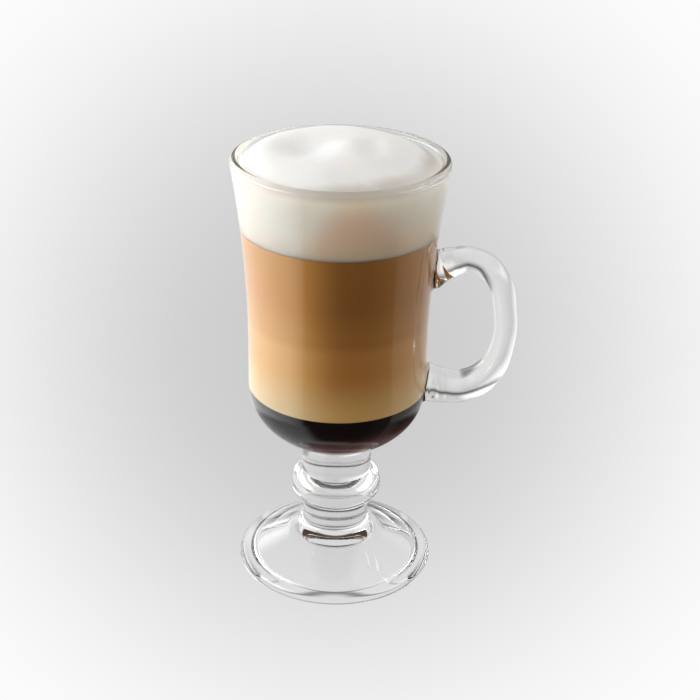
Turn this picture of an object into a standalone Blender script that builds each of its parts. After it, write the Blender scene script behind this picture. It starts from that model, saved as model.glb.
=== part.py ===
"""Layered latte in a footed glass with one handle, modelled at its real size.

Metres, +Z up. The origin is at the bottom centre of the whole, handle included.
The glass is one solid. Each layer of the drink that shows at the side is a solid
of its own, turned about the same axis and fitted to the inside of the bowl.
"""

import math

import bmesh
import bpy

OBJECT_NAME = "latte"

# The whole
GLASS_HEIGHT = 0.1540
SEGMENTS = 48
WALL_STEP = 0.0085
CLEARANCE = 0.0003
MERGE_DISTANCE = 0.00001

# Bowl: a straight waist, flared towards the rim, closed below by half an ellipse
RIM_RADIUS = 0.0370
RIM_WALL = 0.0036
WAIST_RADIUS = 0.0310
WAIST_WALL = 0.0030
FLARE_START = 0.0860
FLARE_POWER = 1.95
BELLY_HEIGHT = 0.0710
OUTER_BOTTOM_DEPTH = 0.0235
INNER_BOTTOM_DEPTH = 0.0176

# Stem: a knop between two necks
NECK_FILLET = 0.0030
NECK_FILLET_SHARE = 0.636
UPPER_NECK_RADIUS = 0.0124
LOWER_NECK_RADIUS = 0.0116
KNOP_RADIUS = 0.0160
KNOP_ROUNDING = 0.0064
KNOP_HEIGHT = 0.0318

# Foot: a shallow cone with a round edge, hollowed a little underneath
FOOT_RADIUS = 0.0347
FOOT_EDGE_ROUNDING = 0.0028
FOOT_SHOULDER_RADIUS = 0.0310
FOOT_SHOULDER_HEIGHT = 0.0062
FOOT_FILLET = 0.0040
FOOT_FILLET_TURN = 62
FOOT_FILLET_HEIGHT = 0.0187
BASE_RING_INNER_RADIUS = 0.0296
BASE_RECESS_RADIUS = 0.0278
BASE_RECESS_DEPTH = 0.0024
BASE_CONE_RADIUS = 0.0158
BASE_CONE_DEPTH = 0.0089
BASE_FLAT_RADIUS = 0.0120
BASE_FLAT_DEPTH = 0.0100

# Handle: centre line as distance from the axis, height and half thickness
HANDLE_ROUTE = (
    (0.0306, 0.1146, 0.0070),
    (0.0343, 0.1160, 0.0058),
    (0.0385, 0.1174, 0.0048),
    (0.0445, 0.1183, 0.0043),
    (0.0527, 0.1136, 0.0042),
    (0.0572, 0.0990, 0.0040),
    (0.0569, 0.0865, 0.0041),
    (0.0527, 0.0764, 0.0048),
    (0.0440, 0.0708, 0.0054),
    (0.0378, 0.0709, 0.0058),
    (0.0340, 0.0714, 0.0064),
    (0.0304, 0.0719, 0.0072),
)
HANDLE_WIDTH_RATIO = 1.30
HANDLE_SQUARE_END = 0.0015
HANDLE_STEPS = 3
HANDLE_REACH = 0.0616

# Drink: the heights at which one layer gives way to the next
DARK_TOP = 0.0704
GOLDEN_TOP = 0.1012
BROWN_TOP = 0.1293
FOAM_EDGE = 0.1525
FOAM_PEAK = 0.1585
FOAM_DOME_POWER = 3.0

# Colours as they show in daylight, with roughness
FINISHES = {
    "glass": ((0.93, 0.95, 0.95), 0.03),
    "dark_layer": ((0.020, 0.008, 0.005), 0.25),
    "golden_layer": ((0.48, 0.27, 0.11), 0.35),
    "brown_layer": ((0.36, 0.18, 0.075), 0.35),
    "milk_foam": ((0.86, 0.84, 0.80), 0.75),
}


def clear_scene():
    for item in list(bpy.data.objects):
        bpy.data.objects.remove(item, do_unlink=True)


def make_collection(name):
    collection = bpy.data.collections.new(name)
    bpy.context.scene.collection.children.link(collection)
    return collection


def make_material(name):
    colour, roughness = FINISHES[name]
    material = bpy.data.materials.new(name)
    material.use_nodes = True
    shader = material.node_tree.nodes["Principled BSDF"]
    shader.inputs["Base Color"].default_value = (*colour, 1.0)
    shader.inputs["Roughness"].default_value = roughness
    shader.inputs["Metallic"].default_value = 0.0
    material.diffuse_color = (*colour, 1.0)
    return material


def arc(centre, radii, start, end, steps):
    """Points (radius, height) of an elliptic arc between two angles in degrees."""
    points = []
    for step in range(steps + 1):
        angle = math.radians(start + (end - start) * step / steps)
        points.append((centre[0] + radii[0] * math.cos(angle), centre[1] + radii[1] * math.sin(angle)))
    return points


def spaced(start, end, steps):
    return [start + (end - start) * step / steps for step in range(steps + 1)]


def outer_radius(height):
    """Outside of the bowl from its belly to its rim."""
    rise = max(0.0, height - FLARE_START) / (GLASS_HEIGHT - FLARE_START)
    return WAIST_RADIUS + (RIM_RADIUS - WAIST_RADIUS) * rise ** FLARE_POWER


def wall_thickness(height):
    share = (height - BELLY_HEIGHT) / (GLASS_HEIGHT - BELLY_HEIGHT)
    return WAIST_WALL + (RIM_WALL - WAIST_WALL) * share


def inner_radius(height):
    """Inside of the bowl from its belly to its rim."""
    return outer_radius(height) - wall_thickness(height)


def lip_points():
    """Half round over the rim, from the inside to the outside."""
    rounding = RIM_WALL / 2
    height = GLASS_HEIGHT - rounding
    centre = (outer_radius(height) - rounding, height)
    return arc(centre, (rounding, rounding), 180, 0, 4)


def bottom_points():
    """From the belly round the bottom of the bowl, and through a fillet into the upper neck."""
    end = math.acos((UPPER_NECK_RADIUS + NECK_FILLET * NECK_FILLET_SHARE) / WAIST_RADIUS)
    points = arc((0.0, BELLY_HEIGHT), (WAIST_RADIUS, OUTER_BOTTOM_DEPTH), 0, -math.degrees(end), 7)[1:]
    slope = math.atan2(OUTER_BOTTOM_DEPTH * math.cos(end), WAIST_RADIUS * math.sin(end))
    centre = (UPPER_NECK_RADIUS + NECK_FILLET, points[-1][1] - NECK_FILLET * math.cos(slope))
    return points + arc(centre, (NECK_FILLET, NECK_FILLET), 90 + math.degrees(slope), 180, 3)[1:]


def knop_points():
    centre = (KNOP_RADIUS - KNOP_ROUNDING, KNOP_HEIGHT)
    upper = math.degrees(math.acos((UPPER_NECK_RADIUS - centre[0]) / KNOP_ROUNDING))
    lower = math.degrees(math.acos((LOWER_NECK_RADIUS - centre[0]) / KNOP_ROUNDING))
    return arc(centre, (KNOP_ROUNDING, KNOP_ROUNDING), upper, -lower, 8)


def foot_points():
    """Down from the lower neck over the cone and the round edge to the middle of the underside."""
    fillet_centre = (LOWER_NECK_RADIUS + FOOT_FILLET, FOOT_FILLET_HEIGHT)
    edge_centre = (FOOT_RADIUS - FOOT_EDGE_ROUNDING, FOOT_EDGE_ROUNDING)
    edge_radii = (FOOT_EDGE_ROUNDING, FOOT_EDGE_ROUNDING)
    points = arc(fillet_centre, (FOOT_FILLET, FOOT_FILLET), 180, 180 + FOOT_FILLET_TURN, 3)
    points.append((FOOT_SHOULDER_RADIUS, FOOT_SHOULDER_HEIGHT))
    points += arc(edge_centre, edge_radii, 70, -90, 5)
    points.append((BASE_RING_INNER_RADIUS, 0.0))
    points.append((BASE_RECESS_RADIUS, BASE_RECESS_DEPTH))
    points.append((BASE_CONE_RADIUS, BASE_CONE_DEPTH))
    points.append((BASE_FLAT_RADIUS, BASE_FLAT_DEPTH))
    points.append((0.0, BASE_FLAT_DEPTH))
    return points


def glass_profile():
    """Closed outline from the bottom of the cavity over the rim to the middle of the underside."""
    lip = lip_points()
    points = arc((0.0, BELLY_HEIGHT), (inner_radius(BELLY_HEIGHT), INNER_BOTTOM_DEPTH), -90, 0, 7)
    steps = math.ceil((lip[0][1] - BELLY_HEIGHT) / WALL_STEP)
    points += [(inner_radius(height), height) for height in spaced(BELLY_HEIGHT, lip[0][1], steps)[1:-1]]
    points += lip
    points += [(outer_radius(height), height) for height in spaced(lip[-1][1], BELLY_HEIGHT, steps)[1:]]
    points += bottom_points()
    points += knop_points()
    points += foot_points()
    points[0] = (0.0, points[0][1])
    return points


def drink_radius(height):
    """Side of the drink, a clearance inside the glass."""
    if height >= BELLY_HEIGHT:
        return inner_radius(height) - CLEARANCE
    drop = (BELLY_HEIGHT - height) / (INNER_BOTTOM_DEPTH - CLEARANCE)
    return (inner_radius(BELLY_HEIGHT) - CLEARANCE) * math.sqrt(1.0 - drop ** 2)


def side_points(top, bottom):
    """Down the side of the drink between two heights, and back to the axis."""
    steps = math.ceil((top - bottom) / WALL_STEP)
    points = [(drink_radius(height), height) for height in spaced(top, bottom, steps)]
    return points + [(0.0, bottom)]


def dark_profile():
    """The bottom layer fills the rounded end of the bowl up to its belly."""
    radii = (inner_radius(BELLY_HEIGHT) - CLEARANCE, INNER_BOTTOM_DEPTH - CLEARANCE)
    start = -math.degrees(math.asin((BELLY_HEIGHT - DARK_TOP) / radii[1]))
    points = [(0.0, DARK_TOP)] + arc((0.0, BELLY_HEIGHT), radii, start, -90, 7)
    points[-1] = (0.0, points[-1][1])
    return points


def flat_profile(bottom, top):
    return [(0.0, top)] + side_points(top, bottom)


def foam_profile():
    """The foam stands up in a dome over the rim and meets the wall just below it."""
    edge = drink_radius(FOAM_EDGE)
    points = []
    for share in spaced(0.0, 1.0, 8)[:-1]:
        height = FOAM_EDGE + (FOAM_PEAK - FOAM_EDGE) * (1.0 - share ** FOAM_DOME_POWER)
        points.append((edge * share, height))
    return points + side_points(FOAM_EDGE, BROWN_TOP + CLEARANCE)


def turn(name, profile, collection, parent):
    """Solid of revolution of an outline that starts and ends on the axis."""
    mesh = bpy.data.meshes.new(name)
    vertices = [(radius, 0.0, height) for radius, height in profile]
    edges = [(index, index + 1) for index in range(len(vertices) - 1)]
    mesh.from_pydata(vertices, edges, [])
    solid = bpy.data.objects.new(name, mesh)
    collection.objects.link(solid)
    solid.parent = parent
    screw = solid.modifiers.new("Turn", "SCREW")
    screw.axis = "Z"
    screw.steps = SEGMENTS
    screw.render_steps = SEGMENTS
    screw.use_merge_vertices = True
    screw.merge_threshold = MERGE_DISTANCE
    screw.use_smooth_shade = True
    solid.data.materials.append(make_material(name))
    return solid


def handle_route(collection, parent):
    """Round curve through the handle's centre line, widened across it to an oval."""
    curve = bpy.data.curves.new("handle_route", "CURVE")
    curve.dimensions = "3D"
    curve.bevel_depth = 1.0
    curve.bevel_resolution = 4
    curve.resolution_u = HANDLE_STEPS
    curve.use_fill_caps = True
    spline = curve.splines.new("BEZIER")
    spline.bezier_points.add(len(HANDLE_ROUTE) - 1)
    spline.radius_interpolation = "CARDINAL"
    for point, (distance, height, thickness) in zip(spline.bezier_points, HANDLE_ROUTE):
        point.co = (distance, 0.0, height)
        point.radius = thickness
        point.handle_left_type = "AUTO"
        point.handle_right_type = "AUTO"
    for end in (spline.bezier_points[0], spline.bezier_points[-1]):
        end.handle_left_type = "FREE"
        end.handle_right_type = "FREE"
        end.handle_left = (end.co[0] + HANDLE_SQUARE_END, 0.0, end.co[2])
        end.handle_right = end.handle_left
    route = bpy.data.objects.new("handle_route", curve)
    collection.objects.link(route)
    route.parent = parent
    route.scale = (1.0, HANDLE_WIDTH_RATIO, 1.0)
    return route


def as_mesh(route, name, collection):
    """The closed mesh of a curve, in the curve's place."""
    bpy.context.view_layer.update()
    graph = bpy.context.evaluated_depsgraph_get()
    mesh = bpy.data.meshes.new_from_object(route.evaluated_get(graph))
    form = bmesh.new()
    form.from_mesh(mesh)
    bmesh.ops.remove_doubles(form, verts=form.verts, dist=MERGE_DISTANCE)
    bmesh.ops.recalc_face_normals(form, faces=form.faces)
    form.to_mesh(mesh)
    form.free()
    solid = bpy.data.objects.new(name, mesh)
    collection.objects.link(solid)
    solid.matrix_world = route.matrix_world.copy()
    bpy.data.objects.remove(route, do_unlink=True)
    return solid


def make_handle(collection, parent):
    """The handle by itself, its two ends buried in the wall of the bowl."""
    handle = as_mesh(handle_route(collection, parent), "handle", collection)
    handle.hide_render = True
    handle.display_type = "WIRE"
    return handle


def make_glass(collection, cutters, parent):
    glass = turn("glass", glass_profile(), collection, parent)
    join = glass.modifiers.new("Handle", "BOOLEAN")
    join.operation = "UNION"
    join.solver = "EXACT"
    join.object = make_handle(cutters, parent)
    return glass


def make_drink(collection, parent):
    turn("dark_layer", dark_profile(), collection, parent)
    turn("golden_layer", flat_profile(DARK_TOP + CLEARANCE, GOLDEN_TOP), collection, parent)
    turn("brown_layer", flat_profile(GOLDEN_TOP + CLEARANCE, BROWN_TOP), collection, parent)
    turn("milk_foam", foam_profile(), collection, parent)


def main():
    clear_scene()
    collection = make_collection(OBJECT_NAME)
    cutters = make_collection("cutters")
    axis = bpy.data.objects.new("glass_axis", None)
    axis.location = ((outer_radius(GLASS_HEIGHT - RIM_WALL / 2) - HANDLE_REACH) / 2, 0.0, 0.0)
    collection.objects.link(axis)
    make_glass(collection, cutters, axis)
    make_drink(collection, axis)
    bpy.context.view_layer.update()


main()
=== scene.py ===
"""Looks of a layered latte in its footed glass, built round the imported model.

The glass, each layer of the drink and the foam are modelled afresh at a finer
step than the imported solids, in the same places. Metres, +Z up, +X to the handle.
"""

import math

import bmesh
import bpy
import numpy as np
from bpy.props import FloatProperty, FloatVectorProperty, IntProperty, PointerProperty
from mathutils import Matrix, Vector, kdtree, noise


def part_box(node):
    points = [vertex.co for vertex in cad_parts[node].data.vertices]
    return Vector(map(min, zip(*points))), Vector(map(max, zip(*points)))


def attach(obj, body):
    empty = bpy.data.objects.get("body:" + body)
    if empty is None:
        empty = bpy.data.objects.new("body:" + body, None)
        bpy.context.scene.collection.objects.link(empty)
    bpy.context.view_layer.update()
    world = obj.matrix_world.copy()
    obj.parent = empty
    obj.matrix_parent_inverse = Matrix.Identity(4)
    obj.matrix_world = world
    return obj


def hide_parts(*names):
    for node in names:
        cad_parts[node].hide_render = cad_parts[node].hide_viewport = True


bl_info = {
    "name": "Layered latte",
    "version": (1, 0, 0),
    "blender": (4, 5, 0),
    "location": "3D View > Sidebar > Latte",
    "description": "Glass, coffee, milk foam and a plain studio for a layered latte",
    "category": "Object",
}

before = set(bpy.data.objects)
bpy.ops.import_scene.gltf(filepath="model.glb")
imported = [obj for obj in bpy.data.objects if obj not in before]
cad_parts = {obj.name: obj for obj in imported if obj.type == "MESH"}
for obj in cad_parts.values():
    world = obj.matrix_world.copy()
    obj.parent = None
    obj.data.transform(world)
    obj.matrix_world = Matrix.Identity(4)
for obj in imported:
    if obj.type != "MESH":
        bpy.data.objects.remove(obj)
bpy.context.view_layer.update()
DARK_LOW, DARK_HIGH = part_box("dark_layer")
AXIS_X = (DARK_LOW[0] + DARK_HIGH[0]) / 2
RIM_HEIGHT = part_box("glass")[1][2]
DARK_TOP = DARK_HIGH[2]
GOLDEN_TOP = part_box("golden_layer")[1][2]
BROWN_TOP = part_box("brown_layer")[1][2]
FOAM_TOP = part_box("milk_foam")[1][2]

# Handle: centre line as distance from the axis, height and half thickness
HANDLE_ROUTE = (
    (0.0299, 0.1144, 0.0072),
    (0.0343, 0.1160, 0.0058),
    (0.0385, 0.1174, 0.0048),
    (0.0445, 0.1183, 0.0043),
    (0.0527, 0.1136, 0.0042),
    (0.0572, 0.0990, 0.0040),
    (0.0569, 0.0865, 0.0041),
    (0.0527, 0.0764, 0.0048),
    (0.0440, 0.0708, 0.0054),
    (0.0378, 0.0709, 0.0058),
    (0.0340, 0.0714, 0.0064),
    (0.0297, 0.0720, 0.0074),
)
HANDLE_ROUNDNESS = 11
HANDLE_STEPS = 14
HANDLE_END_REACH = 0.0015
SAME_PLACE = 0.00001


def length(name, description, default):
    return FloatProperty(
        name=name, description=description, default=default, unit="LENGTH", precision=5
    )


def number(name, description, default):
    return FloatProperty(name=name, description=description, default=default, precision=4)


def angle(name, description, degrees):
    return FloatProperty(
        name=name, description=description, default=math.radians(degrees), subtype="ANGLE"
    )


def colour(name, description, default):
    return FloatVectorProperty(
        name=name,
        description=description,
        default=default,
        size=3,
        min=0.0,
        max=1.0,
        subtype="COLOR",
    )


def glow(name, description, default):
    return FloatVectorProperty(name=name, description=description, default=default, size=3, min=0.0)


class LatteGlassSizes(bpy.types.PropertyGroup):
    """Sizes and finish of the glass"""

    height: length("Height", "Height of the rim above the table", RIM_HEIGHT)
    rim_radius: length("Rim radius", "Outside radius at the rim", 0.0370)
    rim_wall: length("Rim wall", "Thickness of the wall at the rim", 0.0036)
    waist_radius: length("Waist radius", "Outside radius of the straight part of the bowl", 0.0310)
    waist_wall: length("Waist wall", "Thickness of the wall at the belly", 0.0030)
    flare_start: length("Flare start", "Height at which the bowl starts to widen", 0.0860)
    flare_power: number("Flare power", "How late the bowl widens", 1.95)
    belly_height: length("Belly height", "Height at which the bowl starts to close", 0.0710)
    outer_bottom: length("Outer bottom", "Depth of the bowl's rounded end outside", 0.0235)
    inner_bottom: length("Inner bottom", "Depth of the bowl's rounded end inside", 0.0176)
    handle_width: number("Handle width", "Width of the handle as a share of its thickness", 1.30)
    turn_steps: IntProperty(
        name="Turn steps", description="Faces round the glass", default=256, min=24
    )
    bend: number("Bend", "How strongly the glass bends light", 1.5)


class LatteCoffeeSizes(bpy.types.PropertyGroup):
    """Heights and colours of the coffee's layers"""

    dark_top: length("Dark top", "Height of the dark layer's top", DARK_TOP)
    golden_top: length("Golden top", "Height of the golden layer's top", GOLDEN_TOP)
    brown_top: length("Brown top", "Height of the brown layer's top", BROWN_TOP)
    reach: length("Reach", "How far each layer reaches into the wall of the glass", 0.00025)
    dark: colour("Dark", "Colour of the dark coffee", (0.0100, 0.0060, 0.0058))
    # Painted light: the two colours below are the glow of light shining through the coffee where
    # the layer thins, reddish towards the rim and duller over the stem.
    lit_through_rim: colour(
        "Dark rim", "Colour of the dark coffee where it's thin", (0.240, 0.050, 0.034)
    )
    lit_through_middle: colour(
        "Dark middle", "Colour of the dark coffee over the stem", (0.085, 0.062, 0.030)
    )
    pale: colour("Pale", "Milky coffee just above the dark layer", (0.76, 0.475, 0.168))
    golden: colour("Golden", "Milky coffee in the golden layer", (0.52, 0.236, 0.062))
    brown: colour("Brown", "Milky coffee in the brown layer", (0.345, 0.150, 0.037))
    # Painted light and sheen: the three colours below make the coffee paler at the left and right,
    # where the lamps shine, not where more milk went in.
    pale_lit: colour(
        "Pale side", "The pale colour where more milk went in", (0.90, 0.70, 0.39)
    )
    golden_lit: colour(
        "Golden side", "The golden colour where more milk went in", (0.87, 0.535, 0.188)
    )
    brown_lit: colour(
        "Brown side", "The brown colour where more milk went in", (0.74, 0.380, 0.102)
    )


class LatteFoamSizes(bpy.types.PropertyGroup):
    """Heights and colours of the milk foam"""

    edge: length("Edge", "Height at which the foam meets the glass", 0.1525)
    peak: length("Peak", "Height of the dome's middle", 0.1574)
    crown: number("Crown", "How flat the dome is at the back left", 7.0)
    slope: number("Slope", "How flat the dome is at the front right", 1.7)
    bottom: length("Bottom", "Height of the foam's underside", BROWN_TOP)
    # Painted light and shade: the top's colour is darker and the side's paler, as the top gets more
    # light.
    colour: colour("Colour", "Colour of the foam's top", (0.775, 0.775, 0.765))
    # Painted shade: grey on the foam's top towards the right, where the dome falls away from the
    # light.
    painted_light: colour(
        "Thin", "Colour of the foam's top where it's thin, at the right", (0.57, 0.55, 0.505)
    )
    side: colour("Side", "Colour of the foam's side away from the coffee", (0.99, 0.925, 0.855))
    # Partly painted shade: the foam next to the coffee has the coffee's tint, and painted shade
    # makes it reach higher at the front.
    tinted_and_shaded: colour("Tinted", "Colour of the foam next to the coffee", (0.88, 0.700, 0.520))


class LatteStudioSizes(bpy.types.PropertyGroup):
    """Camera, floor and light"""

    camera_back: length("Camera back", "Distance of the camera in front of the glass", 0.48659)
    camera_height: length("Camera height", "Height of the camera above the table", 0.31510)
    lens: number("Lens", "Focal length in millimetres on a 36 mm wide sensor", 79.71)
    pitch: angle("Pitch", "Downward tilt of the camera", 25.435)
    yaw: angle("Yaw", "Turn of the camera to the handle", 0.4985)
    roll: angle("Roll", "Roll of the camera", 1.1667)
    strength: number("Strength", "Strength of all the light", 1.0)
    horizon: number("Horizon", "Share of light near the horizon, for the glass's dark lines", 0.15)
    table_end: number("Table end", "Share of the table's light left where it ends", 0.5)
    overhead: glow("Overhead", "Light straight from above", (0.73, 0.73, 0.73))
    floor_near: colour("Floor near", "Shade of the floor behind the glass", (0.61, 0.61, 0.61))
    floor_far: colour("Floor far", "Shade of the floor further off", (0.97, 0.97, 0.97))


def sizes(context):
    return context.scene.latte


class Signal:
    """The output of a shader node, with arithmetic that adds Math nodes."""

    def __init__(self, shader, socket):
        self.shader = shader
        self.socket = socket

    def math(self, operation, *others):
        values = {index: value for index, value in enumerate((self, *others))}
        return self.shader.node("Math", {"operation": operation}, values)

    def __add__(self, other):
        return self.math("ADD", other)

    __radd__ = __add__

    def __mul__(self, other):
        return self.math("MULTIPLY", other)

    __rmul__ = __mul__

    def __sub__(self, other):
        return self.math("SUBTRACT", other)

    def __rsub__(self, other):
        return self.shader.node("Math", {"operation": "SUBTRACT"}, {0: other, 1: self})

    def __truediv__(self, other):
        return self.math("DIVIDE", other)

    def __pow__(self, other):
        return self.math("POWER", other)

    def step(self, low, high):
        """0 below low and 1 above high, with a smooth step between."""
        limits = {"Value": self, "From Min": low, "From Max": high}
        return self.shader.node("MapRange", {"interpolation_type": "SMOOTHSTEP"}, limits)

    def ring(self, middle, half_width):
        """1 at the middle value, with a smooth step down to 0 on both sides of it."""
        rise = self.step(middle - half_width, middle)
        return rise * (1 - self.step(middle, middle + half_width))


class Shader:
    """A node tree and the one way in which nodes are added to it."""

    def __init__(self, tree):
        self.tree = tree
        tree.nodes.clear()

    def node(self, kind, settings=None, inputs=None, output=0):
        made = self.tree.nodes.new("ShaderNode" + kind)
        for name, value in (settings or {}).items():
            if name == "stops":
                self.set_stops(made.color_ramp, value)
            else:
                setattr(made, name, value)
        for name, value in (inputs or {}).items():
            self.feed(made.inputs[name], value)
        if not made.outputs:
            return made
        return Signal(self, made.outputs[output])

    def feed(self, socket, value):
        if isinstance(value, Signal):
            self.tree.links.new(value.socket, socket)
        elif isinstance(value, (tuple, list)) and socket.type == "RGBA":
            socket.default_value = (*value, 1.0)[:4]
        else:
            socket.default_value = value

    def set_stops(self, ramp, stops):
        while len(ramp.elements) < len(stops):
            ramp.elements.new(1.0)
        for element, (place, shade) in zip(ramp.elements, stops):
            element.position = place
            element.color = (*shade, 1.0)

    def mix(self, factor, first, second):
        """A colour between two colours."""
        return self.node("Mix", {"data_type": "RGBA"}, {0: factor, 6: first, 7: second}, 2)

    def place(self):
        """Position in the piece's own frame, whole and split into x, y and z."""
        spot = self.node("TexCoord", output="Object")
        parts = self.node("SeparateXYZ", inputs={0: spot}).socket.node.outputs
        return spot, *(Signal(self, part) for part in parts)

    def noise(self, spot, scale, detail):
        return self.node("TexNoise", inputs={"Vector": spot, "Scale": scale, "Detail": detail})

    def bump(self, height, strength, distance):
        values = {"Height": height, "Strength": strength, "Distance": distance}
        return self.node("Bump", inputs=values)

    def finish(self, surface):
        self.node("OutputMaterial", inputs={"Surface": surface})


def new_material(name):
    material = bpy.data.materials.new(name)
    material.use_nodes = True
    return material, Shader(material.node_tree)


def arc(centre, radii, start, end, steps):
    """Points (radius, height) of an elliptic arc between two angles in degrees."""
    angles = np.radians(np.linspace(start, end, steps + 1))
    return [
        (centre[0] + radii[0] * math.cos(a), centre[1] + radii[1] * math.sin(a)) for a in angles
    ]


def outer_radius(glass, height):
    """Radius of the bowl's outside above its belly."""
    rise = max(0.0, height - glass.flare_start) / (glass.height - glass.flare_start)
    return glass.waist_radius + (glass.rim_radius - glass.waist_radius) * rise**glass.flare_power


def inner_radius(glass, height):
    """Radius of the bowl's inside above its belly. The wall gets thicker towards the rim."""
    share = (height - glass.belly_height) / (glass.height - glass.belly_height)
    thicker = (glass.rim_wall - glass.waist_wall) * share
    return outer_radius(glass, height) - glass.waist_wall - thicker


# Stem, knop and foot, from the top down
UPPER_NECK = 0.0124
LOWER_NECK = 0.0116
NECK_FILLET = 0.0030
NECK_FILLET_SHARE = 0.636
KNOP_RADIUS = 0.0160
KNOP_ROUNDING = 0.0064
KNOP_HEIGHT = 0.0318
FOOT_RADIUS = 0.0347
FOOT_EDGE = 0.0028
SHOULDER_RADIUS = 0.0310
SHOULDER_HEIGHT = 0.0062
FOOT_FILLET = 0.0040
FOOT_FILLET_TURN = 62
FOOT_FILLET_HEIGHT = 0.0187
FOOT_EDGE_START = 70

# Underside of the foot, from the inside of the ring it stands on: distance from the axis and height
HOLLOW_EDGE = (
    (0.0296, 0.0),
    (0.0293, 0.00015),
    (0.0289, 0.0006),
    (0.0286, 0.0013),
    (0.0283, 0.0019),
    (0.0278, 0.0024),
)
HOLLOW_FLAT = 0.0120
HOLLOW_DEPTH = 0.0100
HOLLOW_BEND = 0.75
HOLLOW_MIDDLE_SHARES = (0.75, 0.5, 0.25, 0.0)

# Steps along the parts of the glass's outline
CAVITY_STEPS = 30
LIP_STEPS = 14
WALL_STEPS = 79
BOWL_END_STEPS = 40
FILLET_STEPS = 12
KNOP_STEPS = 32
FOOT_TOP_STEPS = 12
FOOT_EDGE_STEPS = 20
HOLLOW_STEPS = 21


def bottom_points(glass):
    """Round the outside of the bowl's end and into the upper neck."""
    end = math.acos((UPPER_NECK + NECK_FILLET * NECK_FILLET_SHARE) / glass.waist_radius)
    centre = (0.0, glass.belly_height)
    radii = (glass.waist_radius, glass.outer_bottom)
    points = arc(centre, radii, 0, -math.degrees(end), BOWL_END_STEPS)[1:]
    slope = math.atan2(glass.outer_bottom * math.cos(end), glass.waist_radius * math.sin(end))
    fillet = (UPPER_NECK + NECK_FILLET, points[-1][1] - NECK_FILLET * math.cos(slope))
    start = 90 + math.degrees(slope)
    return points + arc(fillet, (NECK_FILLET, NECK_FILLET), start, 180, FILLET_STEPS)[1:]


def knop_points():
    """Round the knop, from the upper to the lower neck."""
    centre = (KNOP_RADIUS - KNOP_ROUNDING, KNOP_HEIGHT)
    upper = math.degrees(math.acos((UPPER_NECK - centre[0]) / KNOP_ROUNDING))
    lower = math.degrees(math.acos((LOWER_NECK - centre[0]) / KNOP_ROUNDING))
    return arc(centre, (KNOP_ROUNDING, KNOP_ROUNDING), upper, -lower, KNOP_STEPS)


def foot_points():
    """From the lower neck over the foot to the middle of its underside."""
    fillet = (LOWER_NECK + FOOT_FILLET, FOOT_FILLET_HEIGHT)
    end = 180 + FOOT_FILLET_TURN
    points = arc(fillet, (FOOT_FILLET, FOOT_FILLET), 180, end, FILLET_STEPS)
    radius, height = points[-1]
    for share in np.linspace(0.0, 1.0, FOOT_TOP_STEPS + 1)[1:]:
        out = radius + (SHOULDER_RADIUS - radius) * share
        points.append((out, height + (SHOULDER_HEIGHT - height) * share))
    centre = (FOOT_RADIUS - FOOT_EDGE, FOOT_EDGE)
    points += arc(centre, (FOOT_EDGE, FOOT_EDGE), FOOT_EDGE_START, -90, FOOT_EDGE_STEPS)
    points += HOLLOW_EDGE
    edge, low = HOLLOW_EDGE[-1]
    for share in np.linspace(0.0, 1.0, HOLLOW_STEPS + 1)[1:]:
        rise = share - max(0.0, share - HOLLOW_BEND) ** 2 / (2 * (1 - HOLLOW_BEND))
        height = low + (HOLLOW_DEPTH - low) * rise / (1 - (1 - HOLLOW_BEND) / 2)
        points.append((edge + (HOLLOW_FLAT - edge) * share, height))
    points += [(HOLLOW_FLAT * share, HOLLOW_DEPTH) for share in HOLLOW_MIDDLE_SHARES]
    return points


def glass_profile(glass):
    """Outline from the bottom of the cavity over the rim to the middle of the underside."""
    belly = (0.0, glass.belly_height)
    rounding = glass.rim_wall / 2
    lip_height = glass.height - rounding
    lip_middle = (outer_radius(glass, lip_height) - rounding, lip_height)
    lip = arc(lip_middle, (rounding, rounding), 180, 0, LIP_STEPS)
    heights = np.linspace(glass.belly_height, lip_height, WALL_STEPS + 1)
    radii = (inner_radius(glass, glass.belly_height), glass.inner_bottom)
    points = arc(belly, radii, -90, 0, CAVITY_STEPS)
    points += [(inner_radius(glass, height), height) for height in heights[1:-1]]
    points += lip
    points += [(outer_radius(glass, height), height) for height in heights[::-1][1:]]
    points += bottom_points(glass) + knop_points() + foot_points()
    return points


def turned_form(profile, steps):
    """A closed form turned about the glass's axis from an outline that starts and ends on it."""
    form = bmesh.new()
    first, last = (form.verts.new((AXIS_X, 0.0, end[1])) for end in (profile[0], profile[-1]))
    angles = np.linspace(0.0, 2 * math.pi, steps, endpoint=False)
    rings = []
    for radius, height in profile[1:-1]:
        spots = [(AXIS_X + radius * math.cos(a), radius * math.sin(a), height) for a in angles]
        rings.append([form.verts.new(spot) for spot in spots])
    for index in range(steps):
        after = (index + 1) % steps
        form.faces.new((first, rings[0][after], rings[0][index]))
        form.faces.new((last, rings[-1][index], rings[-1][after]))
        for upper, lower in zip(rings, rings[1:]):
            form.faces.new((upper[index], upper[after], lower[after], lower[index]))
    bmesh.ops.recalc_face_normals(form, faces=form.faces)
    return form


SHARP_CORNER = math.radians(50)


def piece_from(form, name):
    """A smoothly shaded piece of the scene from a form."""
    mesh = bpy.data.meshes.new(name)
    form.to_mesh(mesh)
    form.free()
    mesh.shade_smooth()
    mesh.set_sharp_from_angle(angle=SHARP_CORNER)
    piece = bpy.data.objects.new(name, mesh)
    bpy.context.scene.collection.objects.link(piece)
    return piece


def give(piece, node, material):
    """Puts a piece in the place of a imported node, with its material."""
    piece.data.materials.clear()
    piece.data.materials.append(material)
    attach(piece, "root")
    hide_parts(node)


def finished_mesh(thing):
    """The mesh of a curve or a piece with its modifiers applied."""
    bpy.context.view_layer.update()
    return bpy.data.meshes.new_from_object(
        thing.evaluated_get(bpy.context.evaluated_depsgraph_get())
    )


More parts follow.
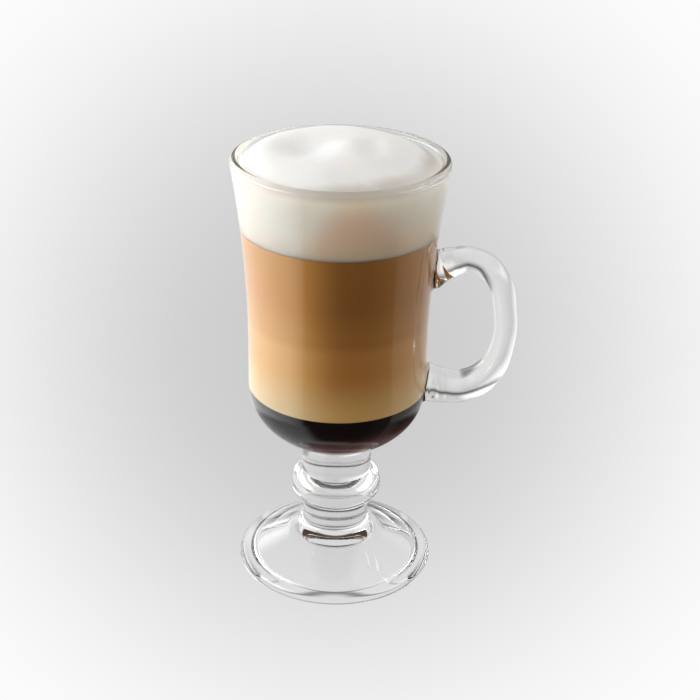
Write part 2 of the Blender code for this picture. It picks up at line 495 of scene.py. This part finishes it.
def handle_piece(glass):
    """The handle as an oval rod along its route, its ends inside the wall."""
    curve = bpy.data.curves.new("handle_route", "CURVE")
    curve.dimensions = "3D"
    curve.bevel_depth = 1.0
    curve.bevel_resolution = HANDLE_ROUNDNESS
    curve.resolution_u = HANDLE_STEPS
    curve.use_fill_caps = True
    spline = curve.splines.new("BEZIER")
    spline.bezier_points.add(len(HANDLE_ROUTE) - 1)
    spline.radius_interpolation = "CARDINAL"
    for point, (distance, height, thickness) in zip(spline.bezier_points, HANDLE_ROUTE):
        point.co = (distance, 0.0, height)
        point.radius = thickness
        point.handle_left_type = "AUTO"
        point.handle_right_type = "AUTO"
    for end in (spline.bezier_points[0], spline.bezier_points[-1]):
        end.handle_left_type = "FREE"
        end.handle_right_type = "FREE"
        end.handle_left = (end.co[0] + HANDLE_END_REACH, 0.0, end.co[2])
        end.handle_right = end.handle_left
    route = bpy.data.objects.new("handle_route", curve)
    bpy.context.scene.collection.objects.link(route)
    route.location = (AXIS_X, 0.0, 0.0)
    route.scale = (1.0, glass.handle_width, 1.0)
    mesh = finished_mesh(route)
    mesh.transform(route.matrix_world)
    form = bmesh.new()
    form.from_mesh(mesh)
    bmesh.ops.remove_doubles(form, verts=form.verts, dist=SAME_PLACE)
    bmesh.ops.recalc_face_normals(form, faces=form.faces)
    bpy.data.objects.remove(route, do_unlink=True)
    return piece_from(form, "handle_rod")


def join_handle(body, rod):
    """The union of bowl and handle as one form."""
    join = body.modifiers.new("Handle", "BOOLEAN")
    join.operation = "UNION"
    join.solver = "EXACT"
    join.object = rod
    form = bmesh.new()
    form.from_mesh(finished_mesh(body))
    bpy.data.objects.remove(rod, do_unlink=True)
    bpy.data.objects.remove(body, do_unlink=True)
    crowded = [face for face in form.faces if len(face.verts) > 4]
    bmesh.ops.triangulate(form, faces=crowded)
    return form


# Seam of handle and bowl: least corner, place, and how far round it the glass is softened
SEAM_CORNER = math.radians(9)
SEAM_GAP = 0.0006
SEAM_HALF_WIDTH = 0.012
SEAM_LOW = 0.06
SEAM_HIGH = 0.125
SEAM_SKIN = 0.0012
SEAM_REACH = 0.0022
SEAM_ROUNDS = 12


def on_seam(glass, middle):
    """Whether a spot lies on the bowl's outside, where the handle's ends are."""
    gap = math.hypot(middle.x - AXIS_X, middle.y) - outer_radius(glass, middle.z)
    at_handle = middle.x > AXIS_X and abs(middle.y) < SEAM_HALF_WIDTH
    return abs(gap) < SEAM_GAP and at_handle and SEAM_LOW < middle.z < SEAM_HIGH


def soften_seam(form, glass):
    """Rounds the corner where the handle meets the bowl, as pressed glass has it."""
    seam = []
    for edge in form.edges:
        if len(edge.link_faces) == 2 and edge.calc_face_angle(0.0) > SEAM_CORNER:
            middle = (edge.verts[0].co + edge.verts[1].co) / 2
            if on_seam(glass, middle):
                seam.append(middle)
    tree = kdtree.KDTree(max(1, len(seam)))
    for index, middle in enumerate(seam):
        tree.insert(middle, index)
    tree.balance()
    weights = {}
    for vertex in form.verts if seam else ():
        distance = math.hypot(vertex.co.x - AXIS_X, vertex.co.y)
        if distance > outer_radius(glass, vertex.co.z) - SEAM_SKIN:
            near = tree.find(vertex.co)[2]
            if near < SEAM_REACH:
                weights[vertex] = (1.0 - near / SEAM_REACH) ** 0.5
    for _ in range(SEAM_ROUNDS):
        moved = {}
        for vertex, weight in weights.items():
            others = [edge.other_vert(vertex).co for edge in vertex.link_edges]
            middle = sum(others, Vector()) / len(others)
            moved[vertex] = vertex.co.lerp(middle, 0.5 * weight)
        for vertex, spot in moved.items():
            vertex.co = spot


GLASS_COLOUR = (0.985, 0.992, 0.99)


def clear_glass(glass):
    """Clear polished glass."""
    material, shader = new_material("clear_glass")
    body = shader.node(
        "BsdfPrincipled",
        {"distribution": "GGX"},
        {
            "Base Color": GLASS_COLOUR,
            "Roughness": 0.0,
            "IOR": glass.bend,
            "Transmission Weight": 1.0,
        },
    )
    shader.finish(body)
    return material


class LatteGlass(bpy.types.Operator):
    """Make the footed glass with its handle"""

    bl_idname = "latte.glass"
    bl_label = "Glass"

    def execute(self, context):
        glass = sizes(context).glass
        body = piece_from(turned_form(glass_profile(glass), glass.turn_steps), "bowl_and_foot")
        form = join_handle(body, handle_piece(glass))
        soften_seam(form, glass)
        piece = piece_from(form, "glass_with_handle")
        give(piece, "glass", clear_glass(glass))
        return {"FINISHED"}


LAYER_STEPS = 39
DARK_STEPS = 40

# Dark layer, with painted light shining through where it thins: heights between which it thins, how
# far that height waves, how much it rises to the right, and the distances from the axis between
# which the painted glow reddens
THIN_COFFEE = (0.0530, 0.0640)
THIN_COFFEE_WAVE = 0.004
THIN_COFFEE_RISE = 0.16
DARK_CLOUDS = (60.0, 3.0)
STEM_TO_RIM = (0.009, 0.013)

# Milky layers: heights between which one colour turns into the next, first fast and
# then slowly, and distances left and right of the axis between which painted light and sheen make
# them paler
GOLDEN_HEIGHT = 0.0880
BROWN_BORDER = (0.0945, 0.0990)
BROWN_BORDER_SHARE = 0.55
BROWN_SPREAD = (0.1000, 0.1130)
LAYER_WAVE = 0.0022
LAYER_CLOUDS = (26.0, 3.0)
LIT_LEFT = (-0.002, 0.0165)
LIT_RIGHT = (0.006, 0.027)
LIT_RIGHT_SHARE = 0.45


def drink_side(glass, coffee, height):
    """Radius of the drink, which reaches a little into the wall."""
    if height >= glass.belly_height:
        return inner_radius(glass, height) + coffee.reach
    drop = (glass.belly_height - height) / (glass.inner_bottom + coffee.reach)
    widest = inner_radius(glass, glass.belly_height) + coffee.reach
    return widest * math.sqrt(max(0.0, 1.0 - drop**2))


def layer_profile(glass, coffee, bottom, top):
    """Outline of a milky layer, from the axis over its top, side and bottom to the axis."""
    heights = np.linspace(top, bottom, LAYER_STEPS + 1)
    side = [(drink_side(glass, coffee, height), height) for height in heights]
    return [(0.0, top)] + side + [(0.0, bottom)]


def dark_profile(glass, coffee):
    """Outline of the dark layer, which fills the bowl's rounded end."""
    widest = inner_radius(glass, glass.belly_height) + coffee.reach
    radii = (widest, glass.inner_bottom + coffee.reach)
    start = -math.degrees(math.asin((glass.belly_height - coffee.dark_top) / radii[1]))
    rounded = arc((0.0, glass.belly_height), radii, start, -90, DARK_STEPS)
    return [(0.0, coffee.dark_top)] + rounded


def dark_coffee(coffee):
    """Nearly black coffee with painted light: a reddish brown glow where it thins, over the bowl's
    end and at the right.
    """
    material, shader = new_material("dark_coffee")
    spot, x, y, z = shader.place()
    east = x - AXIS_X
    cloud = shader.noise(spot, *DARK_CLOUDS)
    # Painted light: the glow of light through the coffee where it thins, reaching higher at the
    # right
    level = z + (cloud - 0.5) * THIN_COFFEE_WAVE - east * THIN_COFFEE_RISE
    painted_light = 1 - level.step(*THIN_COFFEE)
    outer = ((east * east + y * y) ** 0.5).step(*STEM_TO_RIM)
    lit_through_tint = shader.mix(outer, tuple(coffee.lit_through_middle), tuple(coffee.lit_through_rim))
    tint = shader.mix(painted_light, tuple(coffee.dark), lit_through_tint)
    body = shader.node(
        "BsdfPrincipled", inputs={"Base Color": tint, "Roughness": 0.3, "Specular IOR Level": 0.0}
    )
    shader.finish(body)
    return material


def milky_coffee(coffee, name):
    """Milky coffee that goes from brown at the top to golden and pale at the bottom, with painted
    light and sheen making it paler at the left and right.
    """
    material, shader = new_material(name)
    spot, x, y, z = shader.place()
    level = z + (shader.noise(spot, *LAYER_CLOUDS) - 0.5) * LAYER_WAVE
    # Painted light and sheen from the lamps: paler at the left, and less so at the right
    lit_sides = (AXIS_X - x).step(*LIT_LEFT)
    lit_sides = lit_sides + (x - AXIS_X).step(*LIT_RIGHT) * LIT_RIGHT_SHARE
    pale = shader.mix(lit_sides, tuple(coffee.pale), tuple(coffee.pale_lit))
    golden = shader.mix(lit_sides, tuple(coffee.golden), tuple(coffee.golden_lit))
    brown = shader.mix(lit_sides, tuple(coffee.brown), tuple(coffee.brown_lit))
    tint = shader.mix(level.step(coffee.dark_top, GOLDEN_HEIGHT), pale, golden)
    border = level.step(*BROWN_BORDER) * BROWN_BORDER_SHARE
    spread = level.step(*BROWN_SPREAD) * (1 - BROWN_BORDER_SHARE)
    tint = shader.mix(border + spread, tint, brown)
    body = shader.node(
        "BsdfPrincipled",
        inputs={
            "Base Color": tint,
            "Roughness": 0.45,
            "Specular IOR Level": 0.1,
            "Subsurface Weight": 0.08,
            "Subsurface Radius": (1.0, 0.45, 0.2),
            "Subsurface Scale": 0.006,
        },
    )
    shader.finish(body)
    return material


class LatteCoffee(bpy.types.Operator):
    """Make the three layers of coffee"""

    bl_idname = "latte.coffee"
    bl_label = "Coffee"

    def execute(self, context):
        glass, coffee = sizes(context).glass, sizes(context).coffee
        steps = glass.turn_steps
        dark = piece_from(turned_form(dark_profile(glass, coffee), steps), "dark_coffee")
        give(dark, "dark_layer", dark_coffee(coffee))
        golden = layer_profile(glass, coffee, coffee.dark_top, coffee.golden_top)
        piece = piece_from(turned_form(golden, steps), "golden_coffee")
        give(piece, "golden_layer", milky_coffee(coffee, "golden_coffee"))
        brown = layer_profile(glass, coffee, coffee.golden_top, coffee.brown_top)
        piece = piece_from(turned_form(brown, steps), "brown_coffee")
        give(piece, "brown_layer", milky_coffee(coffee, "brown_coffee"))
        return {"FINISHED"}


def bump_at(x, y, east, north, wide, deep):
    """A soft round hump, 1 at its middle."""
    return math.exp(-((x - east) ** 2 / (2 * wide**2) + (y - north) ** 2 / (2 * deep**2)))


# Soft humps and dimples on the foam: place from the axis, width each way and rise
FOAM_HUMPS = (
    (0.0015, 0.0010, 0.0044, 0.0044, 0.00080),
    (-0.0125, 0.0020, 0.0064, 0.0082, -0.00270),
    (0.0098, 0.0040, 0.0032, 0.0062, -0.00130),
    (-0.0240, 0.0040, 0.0060, 0.0120, 0.00030),
    (-0.0040, -0.0150, 0.0110, 0.0060, 0.00030),
    (0.0240, -0.0090, 0.0080, 0.0120, -0.00160),
    (0.0175, 0.0140, 0.0070, 0.0060, 0.00020),
)
# Small waves over the whole of it: rise and how many there are in a metre
FOAM_WAVES = ((0.00045, 70), (0.00012, 210))

FOAM_LOW_SIDE = math.radians(-35)
FOAM_EDGE_DROP = 0.0024
FOAM_LOW_SIDE_SHARE = 0.4
FOAM_FULL_DROP = 1.3
FOAM_EDGE_POWER = 4
FOAM_CALM_EDGE_POWER = 10
FOAM_TURN_STEPS = 288
FOAM_RINGS = 110
FOAM_SIDE_STEPS = 29

# Colours of the foam: scale and detail of what makes them wave, and the distances and
# heights between which they change
FOAM_PATCHES = (90.0, 4.0)
FOAM_GRAIN = (2600.0, 3.0)
FOAM_SIDE_CLOUDS = (45.0, 3.0)
FOAM_SIDE_WAVE = 0.004
# The side's tint is partly the coffee's and partly painted shade; painted light keeps it lower at
# the left and right, and it stays lower at the back
FOAM_SIDE_HEIGHTS = (0.1370, 0.1580)
FOAM_TOP_HEIGHTS = (0.1490, 0.1530)
PALER_LEFT = (-0.003, 0.015)
PALER_LEFT_RISE = 0.018
PALER_RIGHT = (0.006, 0.024)
PALER_BACK = (-0.005, 0.015)
PALER_RISE = 0.012
# Painted shade on the top: its unshaded middle, the distances from there between which the top
# turns grey, and how far that border waves
UNSHADED_MIDDLE = (-0.009, 0.006)
SHADE_DISTANCE = (0.0335, 0.0390)
SHADE_WAVE = 0.006
FOAM_CLOUDS = (0.40, 0.65)
FOAM_CLOUD_SHARE = 0.12


def foam_edge(foam, turn):
    """Height at which the foam meets the glass: lower at the left, right and front right."""
    side = abs(math.cos(turn)) ** 3
    front_right = max(0.0, math.cos(turn - FOAM_LOW_SIDE)) ** 4
    drop = FOAM_EDGE_DROP * (side + FOAM_LOW_SIDE_SHARE * front_right)
    return foam.edge - drop / FOAM_FULL_DROP


def foam_height(foam, x, y, radius):
    """Height of the foam's top at a place given from the glass's axis."""
    share = min(1.0, math.hypot(x, y) / radius)
    turn = math.atan2(y, x)
    low_side = 0.5 + 0.5 * math.cos(turn - FOAM_LOW_SIDE)
    crown = foam.crown - (foam.crown - foam.slope) * low_side
    edge = foam.edge - (foam.edge - foam_edge(foam, turn)) * share**FOAM_EDGE_POWER
    height = edge + (foam.peak - edge) * (1.0 - share**crown)
    inside = 1.0 - share**FOAM_CALM_EDGE_POWER
    for east, north, wide, deep, rise in FOAM_HUMPS:
        height += inside * rise * bump_at(x, y, east, north, wide, deep)
    spot = Vector((x, y, 0.0))
    height += inside * sum(rise * noise.noise(spot * scale) for rise, scale in FOAM_WAVES)
    return min(height, FOAM_TOP)


def foam_form(glass, coffee, foam):
    """Foam with a modelled top and the wall's shape at its side."""
    edge = drink_side(glass, coffee, foam.edge)
    form = bmesh.new()
    angles = np.linspace(0.0, 2 * math.pi, FOAM_TURN_STEPS, endpoint=False)
    middle = form.verts.new((AXIS_X, 0.0, foam_height(foam, 0.0, 0.0, edge)))
    loops = []
    for share in np.linspace(0.0, 1.0, FOAM_RINGS + 1)[1:]:
        radius = edge * share
        places = [(radius * math.cos(a), radius * math.sin(a)) for a in angles]
        spots = [(AXIS_X + x, y, foam_height(foam, x, y, edge)) for x, y in places]
        loops.append([form.verts.new(spot) for spot in spots])
    for share in np.linspace(0.0, 1.0, FOAM_SIDE_STEPS + 1)[1:]:
        loop = []
        for a in angles:
            height = foam_edge(foam, a) + (foam.bottom - foam_edge(foam, a)) * share
            radius = drink_side(glass, coffee, height)
            spot = (AXIS_X + radius * math.cos(a), radius * math.sin(a), height)
            loop.append(form.verts.new(spot))
        loops.append(loop)
    low = form.verts.new((AXIS_X, 0.0, foam.bottom))
    for index in range(FOAM_TURN_STEPS):
        after = (index + 1) % FOAM_TURN_STEPS
        form.faces.new((middle, loops[0][index], loops[0][after]))
        form.faces.new((low, loops[-1][after], loops[-1][index]))
        for upper, lower in zip(loops, loops[1:]):
            form.faces.new((upper[index], lower[index], lower[after], upper[after]))
    bmesh.ops.recalc_face_normals(form, faces=form.faces)
    return form


def fine_foam(foam):
    """Fine matt milk foam, tinged by the coffee towards the underside of its front, with painted
    shade there, painted light keeping the left and right paler, and painted shade greying the top.
    """
    material, shader = new_material("fine_foam")
    spot, x, y, z = shader.place()
    cloud = shader.noise(spot, *FOAM_PATCHES)
    grain = shader.noise(spot, *FOAM_GRAIN)
    # Side: the coffee's tint with painted shade, kept lower by painted light at the left and right,
    # and at the back
    level = z + (shader.noise(spot, *FOAM_SIDE_CLOUDS) - 0.5) * FOAM_SIDE_WAVE
    level = level + (AXIS_X - x).step(*PALER_LEFT) * PALER_LEFT_RISE
    level = level + (x - AXIS_X).step(*PALER_RIGHT) * PALER_RISE
    level = level + y.step(*PALER_BACK) * PALER_RISE
    side = shader.mix(level.step(*FOAM_SIDE_HEIGHTS), tuple(foam.tinted_and_shaded), tuple(foam.side))
    # Painted shade: the top turns grey away from its middle, towards the right
    east, north = x - (AXIS_X + UNSHADED_MIDDLE[0]), y - UNSHADED_MIDDLE[1]
    shade_reach = (east * east + north * north) ** 0.5 + (cloud - 0.5) * SHADE_WAVE
    top = shader.mix(shade_reach.step(*SHADE_DISTANCE), tuple(foam.colour), tuple(foam.painted_light))
    # Painted shade: the top's colour is darker than the side's, since more light falls on it
    tint = shader.mix(z.step(*FOAM_TOP_HEIGHTS), side, top)
    clouds = cloud.step(*FOAM_CLOUDS) * FOAM_CLOUD_SHARE
    tint = shader.mix(clouds, tint, tuple(foam.tinted_and_shaded))
    body = shader.node(
        "BsdfPrincipled",
        inputs={
            "Base Color": tint,
            "Roughness": 0.7,
            "Specular IOR Level": 0.1,
            "Subsurface Weight": 1.0,
            "Subsurface Radius": (1.0, 0.85, 0.65),
            "Subsurface Scale": 0.0085,
            "Normal": shader.bump(grain, 0.2, 0.0001),
        },
    )
    shader.finish(body)
    return material


class LatteFoam(bpy.types.Operator):
    """Make the milk foam with its dome"""

    bl_idname = "latte.foam"
    bl_label = "Milk foam"

    def execute(self, context):
        glass, coffee, foam = sizes(context).glass, sizes(context).coffee, sizes(context).foam
        piece = piece_from(foam_form(glass, coffee, foam), "milk_foam_dome")
        give(piece, "milk_foam", fine_foam(foam))
        return {"FINISHED"}


# Light by the direction round the glass: degrees, 0 towards the camera and -90 left, and its colour
ROOM_LIGHT = (
    (-180, (0.60, 0.60, 0.60)),
    (-150, (2.00, 2.00, 2.00)),
    (-120, (7.00, 7.00, 7.00)),
    (-90, (10.5, 10.5, 10.5)),
    (-65, (9.00, 9.00, 9.00)),
    (-40, (1.40, 1.36, 1.32)),
    (0, (0.155, 0.13, 0.105)),
    (30, (0.28, 0.235, 0.185)),
    (60, (2.25, 2.05, 1.70)),
    (90, (5.30, 5.05, 4.70)),
    (120, (2.50, 2.40, 2.25)),
    (150, (0.85, 0.85, 0.85)),
    (180, (0.60, 0.60, 0.60)),
)
TABLE_LIGHT = (
    (-180, (0.60, 0.60, 0.60)),
    (-150, (1.20, 1.20, 1.20)),
    (-120, (1.90, 1.90, 1.90)),
    (-90, (2.30, 2.30, 2.30)),
    (-60, (1.70, 1.70, 1.70)),
    (-44, (0.95, 0.95, 0.95)),
    (-38, (0.17, 0.155, 0.14)),
    (38, (0.17, 0.150, 0.13)),
    (46, (0.32, 0.31, 0.30)),
    (90, (0.60, 0.58, 0.55)),
    (120, (0.78, 0.77, 0.75)),
    (150, (0.80, 0.80, 0.80)),
    (180, (0.60, 0.60, 0.60)),
)
BRIGHTEST = 12.0

# Heights of the light's direction: how far the dark band at the horizon reaches up, and
# between which the light round the room gives way to the light from above
HORIZON_BAND = (0.02, 0.24)
OVERHEAD_START = (0.24, 0.52)
BACKDROP = (0.75, 0.75, 0.755)


def ring_light(shader, x, y, lights):
    """The light by the direction round the glass, as a share of the brightest."""
    turn = shader.node("Math", {"operation": "ARCTAN2"}, {0: x, 1: y * -1})
    place = turn / (2 * math.pi) + 0.5
    stops = [
        (degrees / 360 + 0.5, tuple(part / BRIGHTEST for part in light))
        for degrees, light in lights
    ]
    return shader.node("ValToRGB", {"stops": stops}, {0: place})


def studio_light(studio):
    """A soft room, brightest on the left. The camera itself sees a plain pale backdrop."""
    world = bpy.data.worlds.new("soft_studio")
    world.use_nodes = True
    bpy.context.scene.world = world
    shader = Shader(world.node_tree)
    way = shader.node("TexCoord", output="Generated")
    parts = shader.node("SeparateXYZ", inputs={0: way}).socket.node.outputs
    x, y, z = (Signal(shader, part) for part in parts)
    overhead = tuple(part / BRIGHTEST for part in studio.overhead)
    tint = shader.mix(z.step(*OVERHEAD_START), ring_light(shader, x, y, ROOM_LIGHT), overhead)
    share = studio.horizon + z.step(*HORIZON_BAND) * (1 - studio.horizon)
    strength = share * (BRIGHTEST * studio.strength)
    light = shader.node("Background", inputs={"Color": tint, "Strength": strength})
    plain = shader.node("Background", inputs={"Color": BACKDROP})
    seen = shader.node("LightPath", output="Is Camera Ray")
    either = shader.node("MixShader", inputs={0: seen, 1: light, 2: plain})
    shader.node("OutputWorld", inputs={"Surface": either})


# Floor: its shade lies in rings that look round from the photo's angle. For that a spot's
# place is turned by the camera's tilt into how far off and how high up it looks
FLOOR_SIZE = 6.0
FLOOR_STEPS = 40
FLOOR_DROP = 0.0001
SHADE_TURN = (0.903, 0.4295)
SHADE_START = (0.5747, -0.0756)
SHADE_RINGS = (0.045, 0.327)
TABLE_FALL = (0.35, 1.6)
LIT_DISTANCE = (0.09, 0.12)

# Floor in front of the glass, which is dark where it's mirrored: its left and right border
FRONT_LEFT = (-0.012, 0.024)
FRONT_LEFT_LEAN = 0.84
FRONT_RIGHT = (0.0, 0.012)
FRONT_RIGHT_LEAN = 2.6
FRONT_START = (0.03, 0.05)
FRONT_DARKENING = 0.8

# Painted shade on the floor: a contact shadow where the foot rests on it, and darker floor right of
# the axis in what the glass mirrors, behind the handle, and under the foot after a reflection
# inside the glass
CONTACT_SHADOW_RINGS = ((0.0279, 0.0002, 1.0), (0.0288, 0.0001, 0.5))
CONTACT_SHADOW_DARKENING = 0.7
RIGHT_START = (0.0, 0.02)
RIGHT_DARKENING = 0.75
HANDLE_BACK_EAST = (0.045, 0.060)
HANDLE_BACK_NORTH = (-0.03, 0.01)
HANDLE_BACK_DARKENING = 0.7
UNDER_FOOT_END = (0.029, 0.033)
UNDER_FOOT_DARKENING = 0.8


def any_bounce(shader, kind):
    """1 after at least one bounce of a kind and 0 before it."""
    return shader.node("LightPath", output=kind + " Depth").step(0.4, 0.6)


def floor_tint(shader, studio, east, y):
    """The plain floor's shade, darkest behind the glass as the photo shows it."""
    depth = y * SHADE_TURN[0] + SHADE_START[0]
    across = east / depth
    rise = (y * SHADE_TURN[1] + SHADE_START[1]) / depth
    spread = (across * across + rise * rise) ** 0.5
    rings = spread.step(*SHADE_RINGS)
    return shader.mix(rings, tuple(studio.floor_near), tuple(studio.floor_far))


def pale_floor(studio):
    """Plain pale floor that throws light on the glass from outside the picture."""
    material, shader = new_material("pale_floor")
    _, x, y, _ = shader.place()
    east = x - AXIS_X
    distance = (east * east + y * y) ** 0.5
    unseen = 1 - shader.node("LightPath", output="Is Camera Ray")
    mirrored = 1 - any_bounce(shader, "Transmission")
    front = (y * -FRONT_RIGHT_LEAN - east).step(*FRONT_RIGHT)
    front = front * (y * -FRONT_LEFT_LEAN + east).step(*FRONT_LEFT)

    fall = 1 - distance.step(*TABLE_FALL) * (1 - studio.table_end)
    strength = fall * (BRIGHTEST * studio.strength) * (1 - mirrored * front * FRONT_DARKENING)
    ring = ring_light(shader, east, y, TABLE_LIGHT)
    thrown = shader.node("Emission", inputs={"Color": ring, "Strength": strength})

    # Painted shade: a contact shadow where the foot rests, and darker floor in what the glass shows
    right = unseen * mirrored * east.step(*RIGHT_START)
    handle_back = unseen * east.step(*HANDLE_BACK_EAST) * y.step(*HANDLE_BACK_NORTH)
    contact_shadow = sum(distance.ring(middle, half) * share for middle, half, share in CONTACT_SHADOW_RINGS)
    under = any_bounce(shader, "Glossy") * (1 - distance.step(*UNDER_FOOT_END))
    shade = (1 - right * RIGHT_DARKENING) * (1 - handle_back * HANDLE_BACK_DARKENING)
    shade = shade * (1 - contact_shadow * CONTACT_SHADOW_DARKENING) * (1 - under * UNDER_FOOT_DARKENING)
    tint = floor_tint(shader, studio, east, y)
    plain = shader.node("Emission", inputs={"Color": tint, "Strength": shade})

    near = mirrored * front * distance.step(*FRONT_START)
    far = distance.step(*LIT_DISTANCE)
    outside = unseen * far.math("MAXIMUM", near)
    shader.finish(shader.node("MixShader", inputs={0: outside, 1: plain, 2: thrown}))
    return material


def floor_piece(studio):
    """The floor, a hair below the glass."""
    form = bmesh.new()
    bmesh.ops.create_grid(
        form, x_segments=FLOOR_STEPS, y_segments=FLOOR_STEPS, size=FLOOR_SIZE
    )
    floor = piece_from(form, "floor")
    floor.location = (0.0, 0.0, -FLOOR_DROP)
    floor.data.materials.append(pale_floor(studio))


SENSOR_WIDTH = 36.0
NEAREST_SEEN = 0.01
FURTHEST_SEEN = 50.0


def place_camera(studio):
    """The camera at the photo's angle."""
    data = bpy.data.cameras.new("photo_camera")
    data.lens = studio.lens
    data.sensor_width = SENSOR_WIDTH
    data.clip_start = NEAREST_SEEN
    data.clip_end = FURTHEST_SEEN
    camera = bpy.data.objects.new("photo_camera", data)
    bpy.context.scene.collection.objects.link(camera)
    ahead = Vector(
        (
            math.sin(studio.yaw) * math.cos(studio.pitch),
            math.cos(studio.yaw) * math.cos(studio.pitch),
            -math.sin(studio.pitch),
        )
    )
    side = Vector((math.cos(studio.yaw), -math.sin(studio.yaw), 0.0))
    up = side.cross(ahead)
    right = side * math.cos(studio.roll) + up * math.sin(studio.roll)
    above = up * math.cos(studio.roll) - side * math.sin(studio.roll)
    turn = Matrix((right, above, -ahead)).transposed().to_4x4()
    place = Matrix.Translation((AXIS_X, -studio.camera_back, studio.camera_height))
    camera.matrix_world = place @ turn
    bpy.context.scene.camera = camera


MOST_BOUNCES = 24
MOST_REFLECTIONS = 8
BRIGHTEST_BOUNCE = 12.0


class LatteStudio(bpy.types.Operator):
    """Make the floor, the light and the camera"""

    bl_idname = "latte.studio"
    bl_label = "Studio"

    def execute(self, context):
        studio = sizes(context).studio
        studio_light(studio)
        floor_piece(studio)
        place_camera(studio)
        scene = context.scene
        scene.view_settings.view_transform = "Standard"
        scene.cycles.use_denoising = True
        scene.cycles.caustics_refractive = True
        scene.cycles.caustics_reflective = True
        scene.cycles.sample_clamp_indirect = BRIGHTEST_BOUNCE
        scene.cycles.max_bounces = MOST_BOUNCES
        scene.cycles.transmission_bounces = MOST_BOUNCES
        scene.cycles.glossy_bounces = MOST_REFLECTIONS
        scene.cycles.transparent_max_bounces = MOST_BOUNCES
        return {"FINISHED"}


class LattePanel(bpy.types.Panel):
    """Sizes, colours and steps of the latte"""

    bl_idname = "VIEW3D_PT_latte"
    bl_label = "Latte"
    bl_space_type = "VIEW_3D"
    bl_region_type = "UI"
    bl_category = "Latte"

    def draw(self, context):
        for name, operator in STEPS:
            box = self.layout.box()
            group = getattr(sizes(context), name)
            for key in group.bl_rna.properties.keys():
                if key not in ("rna_type", "name"):
                    box.prop(group, key)
            box.operator(operator.bl_idname)


class LatteSizes(bpy.types.PropertyGroup):
    """All sizes and colours of the latte"""

    glass: PointerProperty(type=LatteGlassSizes)
    coffee: PointerProperty(type=LatteCoffeeSizes)
    foam: PointerProperty(type=LatteFoamSizes)
    studio: PointerProperty(type=LatteStudioSizes)


STEPS = (
    ("glass", LatteGlass),
    ("coffee", LatteCoffee),
    ("foam", LatteFoam),
    ("studio", LatteStudio),
)
CLASSES = (
    LatteGlassSizes,
    LatteCoffeeSizes,
    LatteFoamSizes,
    LatteStudioSizes,
    LatteSizes,
    LatteGlass,
    LatteCoffee,
    LatteFoam,
    LatteStudio,
    LattePanel,
)


def register():
    for kind in CLASSES:
        bpy.utils.register_class(kind)
    bpy.types.Scene.latte = PointerProperty(type=LatteSizes)


def unregister():
    del bpy.types.Scene.latte
    for kind in reversed(CLASSES):
        bpy.utils.unregister_class(kind)


def main():
    register()
    bpy.ops.latte.glass()
    bpy.ops.latte.coffee()
    bpy.ops.latte.foam()
    bpy.ops.latte.studio()
    bpy.context.view_layer.update()


if __name__ == "__main__":
    main()
